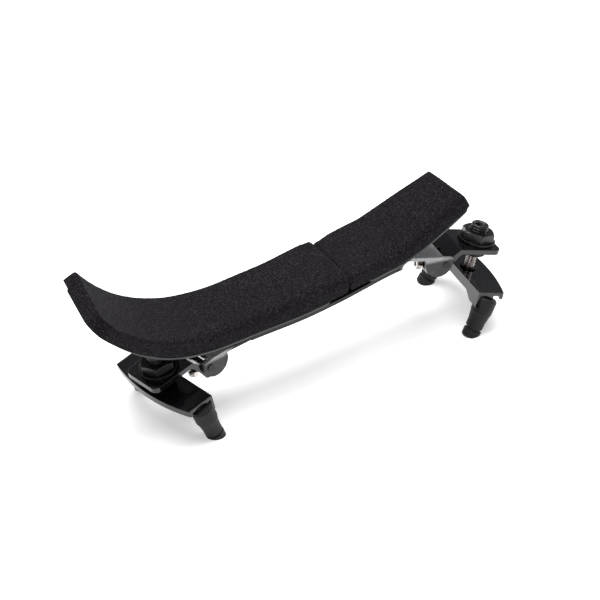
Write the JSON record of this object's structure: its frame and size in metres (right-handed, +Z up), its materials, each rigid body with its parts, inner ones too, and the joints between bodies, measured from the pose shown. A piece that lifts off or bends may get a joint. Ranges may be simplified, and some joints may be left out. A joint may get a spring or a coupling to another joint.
{
  "type": "violin shoulder rest",
  "caption": "Curved foam-padded violin shoulder rest on tilting end brackets with height-adjustable, rubber-footed gripping forks.",
  "frame": {"origin": "middle of the base of the bounding box, on the plane of the four feet", "axes": "+X along the plate from the chest end to the shoulder end, +Y to the far side, +Z up, standing on its feet"},
  "size_m": [0.2728, 0.073, 0.0987],
  "materials": {
    "foam": "matte",
    "plate_paint": "satin",
    "black_paint": "gloss",
    "black_oxide": "satin",
    "chrome": "polished",
    "rubber": "matte"
  },
  "bodies": {
    "base": {"plate_long": "plate_paint", "plate_short": "plate_paint", "foam_main": "foam", "foam_end": "foam", "strap": "black_paint", "weld_studs_left": "black_oxide", "weld_studs_right": "black_oxide", "hinge_pin_left": "black_oxide", "hinge_pin_right": "black_oxide", "cross_bar_left": "black_paint", "cross_bar_right": "black_paint"},
    "bracket_right": {"bracket_right": "black_paint"},
    "adjuster_right": {"adjuster_right": "chrome", "stop_nut_right": "chrome"},
    "barrel_right": {"barrel_nut_right": "chrome"},
    "bush_right": {"bush_right": "black_oxide"},
    "washer_right": {"washer_right": "black_oxide"},
    "lock_nut_right": {"lock_nut_right": "black_oxide"},
    "collar_right": {"collar_right": "black_paint"},
    "height_screw_right": {"height_screw_right": "chrome"},
    "fork_right": {"fork_right": "black_paint", "foot_right_near": "rubber", "foot_right_far": "rubber"},
    "bracket_left": {"bracket_left": "black_paint"},
    "adjuster_left": {"adjuster_left": "chrome", "stop_nut_left": "chrome"},
    "barrel_left": {"barrel_nut_left": "chrome"},
    "bush_left": {"bush_left": "black_oxide"},
    "washer_left": {"washer_left": "black_oxide"},
    "lock_nut_left": {"lock_nut_left": "black_oxide"},
    "collar_left": {"collar_left": "black_paint"},
    "height_screw_left": {"height_screw_left": "chrome"},
    "fork_left": {"fork_left": "black_paint", "foot_left_near": "rubber", "foot_left_far": "rubber"}
  },
  "joints": [
    {"name": "tilt_right", "type": "hinge", "parent": "base", "child": "bracket_right", "pos_m": [0.09903, 0.00325, 0.0387], "axis": [0.2079, 0.9781, 0], "range_deg": [-10, 14]},
    {"name": "adjuster_turn_right", "type": "hinge", "parent": "base", "child": "adjuster_right", "pos_m": [0.09681, -0.0016, 0.03404], "axis": [0.9491, -0.2017, -0.2419], "range_deg": [-520, 720]},
    {"name": "barrel_turn_right", "type": "hinge", "parent": "bracket_right", "child": "barrel_right", "pos_m": [0.09789, 0.00349, 0.03404], "axis": [0.2079, 0.9781, 0], "range_deg": [-15, 15]},
    {"name": "width_right", "type": "slide", "parent": "bracket_right", "child": "bush_right", "axis": [0.9491, -0.2017, -0.2419], "range_m": [-0.005, 0.0005]},
    {"name": "washer_lift_right", "type": "slide", "parent": "bush_right", "child": "washer_right", "axis": [0.2366, -0.0503, 0.9703], "range_m": [0, 0.00075]},
    {"name": "lock_nut_turn_right", "type": "hinge", "parent": "washer_right", "child": "lock_nut_right", "pos_m": [0.12512, -0.0023, 0.04442], "axis": [0.2366, -0.0503, 0.9703], "range_deg": [-5, 185]},
    {"name": "height_right", "type": "slide", "parent": "bush_right", "child": "collar_right", "axis": [0.2366, -0.0503, 0.9703], "range_m": [-0.003, 0.0075]},
    {"name": "height_screw_turn_right", "type": "hinge", "parent": "collar_right", "child": "height_screw_right", "pos_m": [0.12228, -0.00169, 0.03277], "axis": [0.2366, -0.0503, 0.9703], "range_deg": [-1100, 2720]},
    {"name": "fork_swivel_right", "type": "hinge", "parent": "collar_right", "child": "fork_right", "pos_m": [0.12228, -0.00169, 0.03277], "axis": [0.2366, -0.0503, 0.9703], "range_deg": [-12, 12]},
    {"name": "tilt_left", "type": "hinge", "parent": "base", "child": "bracket_left", "pos_m": [-0.06447, 0.00085, 0.0307], "axis": [0.1219, -0.9925, 0], "range_deg": [-10, 14]},
    {"name": "adjuster_turn_left", "type": "hinge", "parent": "base", "child": "adjuster_left", "pos_m": [-0.06268, -0.00417, 0.02604], "axis": [-0.9631, -0.1182, -0.2419], "range_deg": [-520, 720]},
    {"name": "barrel_turn_left", "type": "hinge", "parent": "bracket_left", "child": "barrel_left", "pos_m": [-0.06332, 0.00099, 0.02604], "axis": [0.1219, -0.9925, 0], "range_deg": [-15, 15]},
    {"name": "width_left", "type": "slide", "parent": "bracket_left", "child": "bush_left", "axis": [-0.9631, -0.1182, -0.2419], "range_m": [-0.002, 0.0035]},
    {"name": "washer_lift_left", "type": "slide", "parent": "bush_left", "child": "washer_left", "axis": [-0.2401, -0.0295, 0.9703], "range_m": [0, 0.00075]},
    {"name": "lock_nut_turn_left", "type": "hinge", "parent": "washer_left", "child": "lock_nut_left", "pos_m": [-0.08806, -0.00205, 0.03714], "axis": [-0.2401, -0.0295, 0.9703], "range_deg": [-5, 185]},
    {"name": "height_left", "type": "slide", "parent": "bush_left", "child": "collar_left", "axis": [-0.2401, -0.0295, 0.9703], "range_m": [-0.0105, 0]},
    {"name": "height_screw_turn_left", "type": "hinge", "parent": "collar_left", "child": "height_screw_left", "pos_m": [-0.08518, -0.00169, 0.0255], "axis": [-0.2401, -0.0295, 0.9703], "range_deg": [-3800, 20]},
    {"name": "fork_swivel_left", "type": "hinge", "parent": "collar_left", "child": "fork_left", "pos_m": [-0.08518, -0.00169, 0.0255], "axis": [-0.2401, -0.0295, 0.9703], "range_deg": [-12, 12]}
  ],
  "couplings": [
    {"joint": "adjuster_turn_right", "follows": "tilt_right", "ratio": 50.266},
    {"joint": "barrel_turn_right", "follows": "tilt_right", "ratio": -1},
    {"joint": "lock_nut_turn_right", "follows": "washer_lift_right", "rad_per_m": 4188.8},
    {"joint": "height_screw_turn_right", "follows": "height_right", "rad_per_m": 6283.2},
    {"joint": "adjuster_turn_left", "follows": "tilt_left", "ratio": 50.266},
    {"joint": "barrel_turn_left", "follows": "tilt_left", "ratio": -1},
    {"joint": "lock_nut_turn_left", "follows": "washer_lift_left", "rad_per_m": 4188.8},
    {"joint": "height_screw_turn_left", "follows": "height_left", "rad_per_m": 6283.2}
  ]
}
